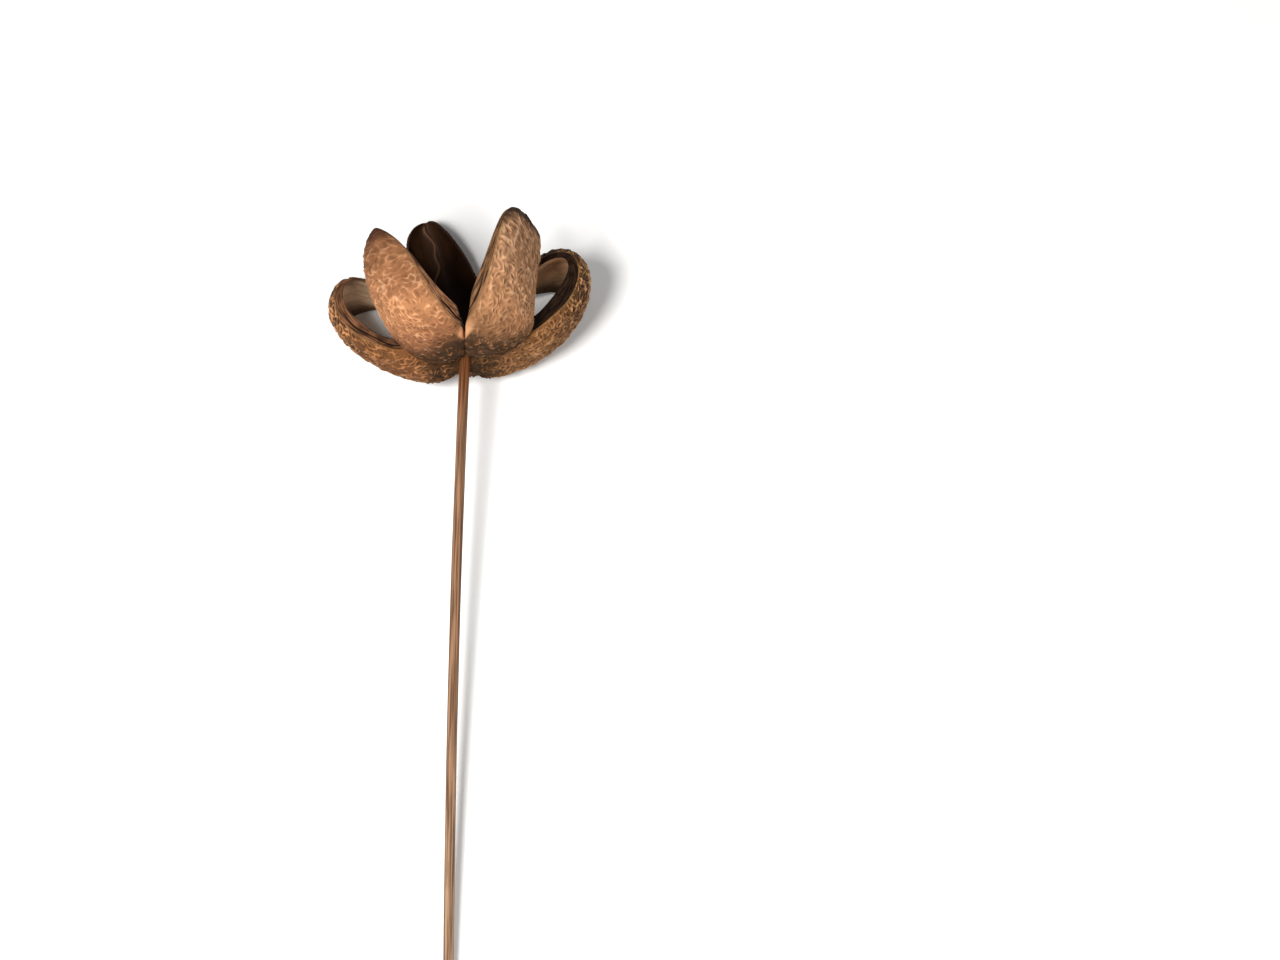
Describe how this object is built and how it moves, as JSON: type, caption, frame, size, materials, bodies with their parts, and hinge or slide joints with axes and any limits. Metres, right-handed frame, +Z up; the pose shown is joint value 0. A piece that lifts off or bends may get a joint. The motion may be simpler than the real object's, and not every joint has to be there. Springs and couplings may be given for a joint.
{
  "type": "dried seed pod on a stem",
  "caption": "Woody seed pod split into boat-shaped follicles that curl open round a bowl, on a long thin reed stem, lying on its side.",
  "frame": {"origin": "on the table, under the middle of the whole", "axes": "+Z up; +Y from the stem's cut end to the pod, so the pod's mouth faces +Y; +X to the right for someone who looks from the stem to the pod"},
  "size_m": [0.101, 0.3564, 0.0754],
  "materials": {
    "pod": "rough ridged rind outside, smooth satin brown inside",
    "stem": "matt, striped lengthwise"
  },
  "bodies": {
    "root": {"pod": "pod", "stem": "stem"}
  },
  "joints": []
}
